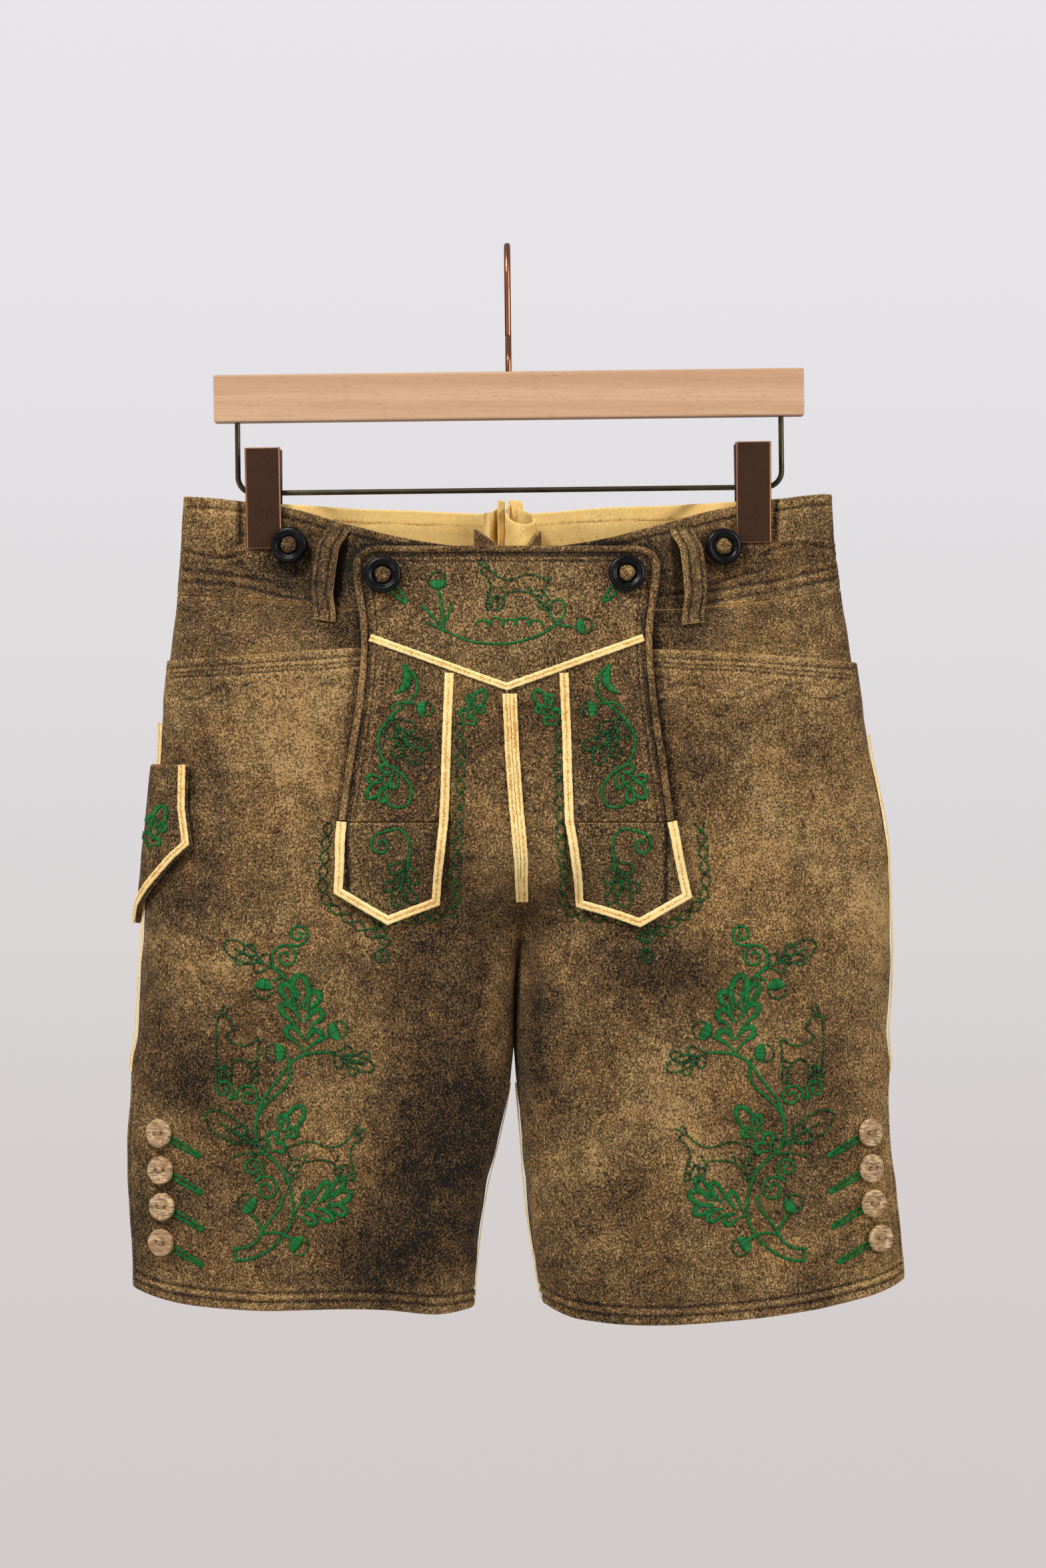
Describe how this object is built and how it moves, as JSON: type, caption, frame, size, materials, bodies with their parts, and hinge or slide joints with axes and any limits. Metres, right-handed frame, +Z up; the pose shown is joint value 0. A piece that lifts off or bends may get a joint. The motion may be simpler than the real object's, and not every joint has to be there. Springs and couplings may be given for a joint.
{
  "type": "short embroidered leather breeches with a drop front, held by a trouser clip hanger",
  "caption": "Knee-length leather breeches with embroidered legs and a buttoned drop front, clipped at the waist to a wooden trouser hanger.",
  "frame": {"origin": "inside of the hanger hook's crown, where it rests on a rod", "axes": "+Z up, the breeches' front faces -Y, +X towards the wearer's left"},
  "size_m": [0.5259, 0.1103, 0.7291],
  "materials": {
    "leg_leather": "napped, rubbed tan-brown buckskin",
    "dark_leather": "darker napped leather",
    "trim_suede": "pale yellow split suede",
    "black_horn": "polished black horn",
    "antler": "sawn antler, polished",
    "beech": "sanded, clear matt lacquer",
    "copper_plate": "antique copper plating",
    "dark_wire": "dark bronzed wire"
  },
  "bodies": {
    "root": {"antler_button_l1": "antler", "antler_button_l2": "antler", "antler_button_l3": "antler", "antler_button_l4": "antler", "antler_button_r1": "antler", "antler_button_r2": "antler", "antler_button_r3": "antler", "antler_button_r4": "antler", "belt_loop_front_l": "leg_leather", "belt_loop_front_r": "leg_leather", "button_knot_flap_l": "leg_leather", "button_knot_flap_r": "leg_leather", "button_knot_waist_l": "leg_leather", "button_knot_waist_r": "leg_leather", "centre_trim_l": "trim_suede", "centre_trim_r": "trim_suede", "clip_back_l": "copper_plate", "clip_back_r": "copper_plate", "clip_front_l": "copper_plate", "clip_front_r": "copper_plate", "clip_spring_l": "dark_wire", "clip_spring_r": "dark_wire", "flap_binding": "leg_leather", "flap_strip_l": "dark_leather", "flap_strip_r": "dark_leather", "flap_yoke": "dark_leather", "gusset_fold": "trim_suede", "gusset_patch": "dark_leather", "gusset_scroll": "trim_suede", "gusset_tube": "trim_suede", "hanger_bar": "beech", "hanger_hook": "copper_plate", "hanger_rail": "dark_wire", "hip_facing_l": "leg_leather", "hip_facing_r": "leg_leather", "inseam_trim_l": "trim_suede", "inseam_trim_r": "trim_suede", "knife_pocket": "dark_leather", "knife_trim_back": "trim_suede", "knife_trim_front": "trim_suede", "leg_back_l": "leg_leather", "leg_back_r": "leg_leather", "leg_front_l": "leg_leather", "leg_front_r": "leg_leather", "ring_button_flap_l": "black_horn", "ring_button_flap_r": "black_horn", "ring_button_waist_l": "black_horn", "ring_button_waist_r": "black_horn", "shield_l": "dark_leather", "shield_r": "dark_leather", "shield_trim_l": "trim_suede", "shield_trim_r": "trim_suede", "side_trim_l": "trim_suede", "side_trim_r": "trim_suede", "waistband_back_l": "leg_leather", "waistband_back_r": "leg_leather", "waistband_front_l": "leg_leather", "waistband_front_r": "leg_leather", "yoke_trim": "trim_suede"}
  },
  "joints": []
}
